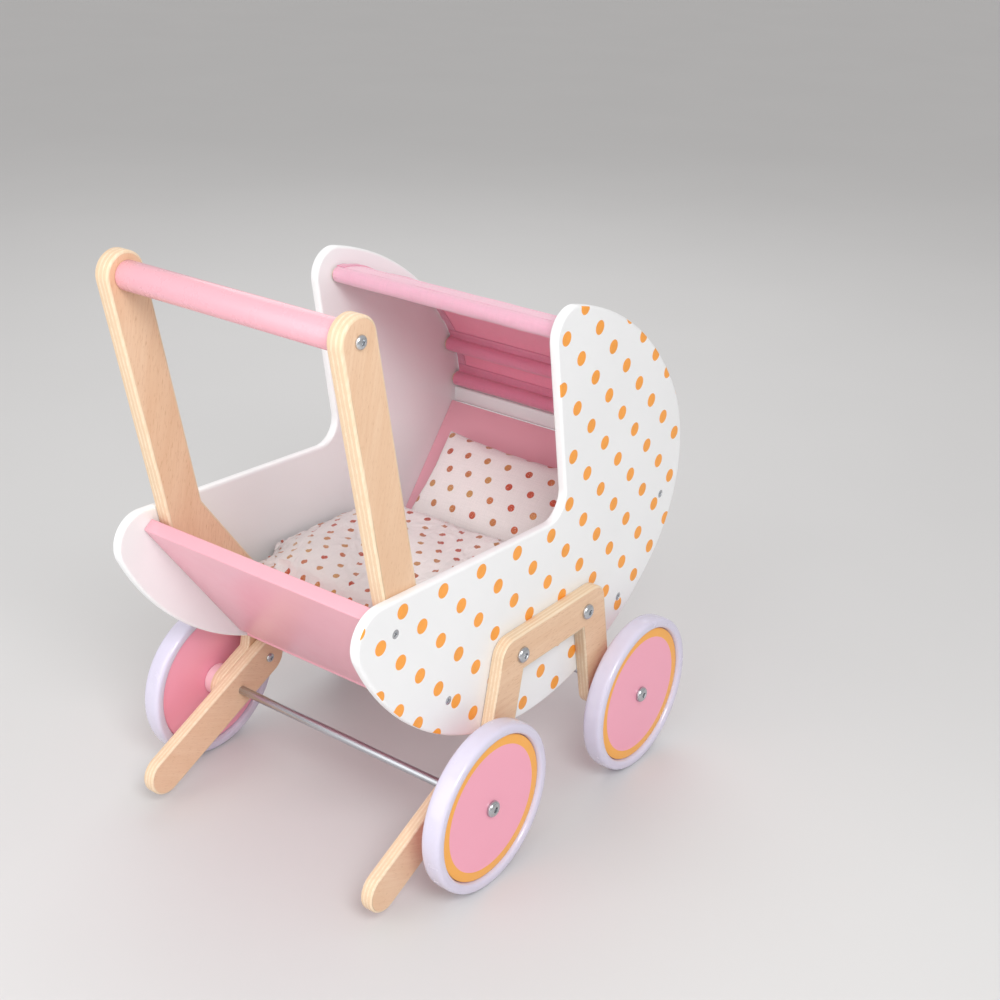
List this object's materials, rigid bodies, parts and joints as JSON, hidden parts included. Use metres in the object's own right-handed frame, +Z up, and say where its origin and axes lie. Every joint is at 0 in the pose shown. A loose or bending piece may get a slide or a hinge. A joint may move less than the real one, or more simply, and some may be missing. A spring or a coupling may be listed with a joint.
{
  "type": "doll stroller",
  "caption": "Wooden doll pram with dotted side panels, fabric hood, plywood push handle, wheels on brackets with stop legs, and bedding.",
  "frame": {"origin": "middle of the bounding box in plan, on the floor under the wheels", "axes": "+Z up, +X from the push handle towards the hood, +Y to the left seen from the handle; the wheel axles run along Y"},
  "size_m": [0.4682, 0.3514, 0.5255],
  "materials": {
    "white_paint": "white satin lacquer on plywood, gold dots on the outer faces",
    "pink_paint": "pale pink satin lacquer on board and dowel",
    "wheel_pink": "pink satin lacquer, gold printed ring on the outer face of the discs",
    "plywood": "clear satin varnish, plies showing on the edges",
    "beech": "bare turned dowel",
    "steel": "bright zinc plated",
    "tyre": "glossy pale lilac soft plastic",
    "hood_fabric": "plain woven cotton, sewn sleeves and hems",
    "bed_cotton": "white cotton with small gold foil dots"
  },
  "bodies": {
    "frame": {"blanket": "bed_cotton", "floor_panel": "pink_paint", "foot_panel": "pink_paint", "front_axle": "steel", "handle_bar": "pink_paint", "head_panel": "pink_paint", "hood_fabric": "hood_fabric", "hood_rail": "white_paint", "hood_rod_front": "beech", "hood_rod_middle": "beech", "hood_rod_rear": "beech", "left_axle_bracket": "plywood", "left_foot_screw_lower": "steel", "left_foot_screw_upper": "steel", "left_front_axle_cap": "steel", "left_front_bracket_bolt": "steel", "left_front_bracket_nut": "steel", "left_front_hub_spacer": "wheel_pink", "left_handle_screw": "steel", "left_handle_upright": "plywood", "left_head_screw_lower": "steel", "left_head_screw_upper": "steel", "left_rear_axle_cap": "steel", "left_rear_bracket_bolt": "steel", "left_rear_bracket_nut": "steel", "left_rear_hub_spacer": "wheel_pink", "left_side_panel": "white_paint", "left_stop_leg": "plywood", "left_stop_leg_screw": "steel", "left_upright_screw": "steel", "mattress": "bed_cotton", "pillow": "bed_cotton", "rear_axle": "steel", "right_axle_bracket": "plywood", "right_foot_screw_lower": "steel", "right_foot_screw_upper": "steel", "right_front_axle_cap": "steel", "right_front_bracket_bolt": "steel", "right_front_bracket_nut": "steel", "right_front_hub_spacer": "wheel_pink", "right_handle_screw": "steel", "right_handle_upright": "plywood", "right_head_screw_lower": "steel", "right_head_screw_upper": "steel", "right_rear_axle_cap": "steel", "right_rear_bracket_bolt": "steel", "right_rear_bracket_nut": "steel", "right_rear_hub_spacer": "wheel_pink", "right_side_panel": "white_paint", "right_stop_leg": "plywood", "right_stop_leg_screw": "steel", "right_upright_screw": "steel"},
    "right_rear_wheel": {"right_rear_wheel_tyre": "tyre", "right_rear_wheel_disc": "wheel_pink"},
    "right_front_wheel": {"right_front_wheel_tyre": "tyre", "right_front_wheel_disc": "wheel_pink"},
    "left_rear_wheel": {"left_rear_wheel_tyre": "tyre", "left_rear_wheel_disc": "wheel_pink"},
    "left_front_wheel": {"left_front_wheel_tyre": "tyre", "left_front_wheel_disc": "wheel_pink"}
  },
  "joints": [
    {"name": "right_rear_wheel_spin", "type": "hinge", "parent": "frame", "child": "right_rear_wheel", "pos_m": [-0.10282, -0.1649, 0.0765], "axis": [0, 1, 0], "continuous": true},
    {"name": "right_front_wheel_spin", "type": "hinge", "parent": "frame", "child": "right_front_wheel", "pos_m": [0.13218, -0.1649, 0.0765], "axis": [0, 1, 0], "continuous": true},
    {"name": "left_rear_wheel_spin", "type": "hinge", "parent": "frame", "child": "left_rear_wheel", "pos_m": [-0.10282, 0.1649, 0.0765], "axis": [0, 1, 0], "continuous": true},
    {"name": "left_front_wheel_spin", "type": "hinge", "parent": "frame", "child": "left_front_wheel", "pos_m": [0.13218, 0.1649, 0.0765], "axis": [0, 1, 0], "continuous": true}
  ]
}
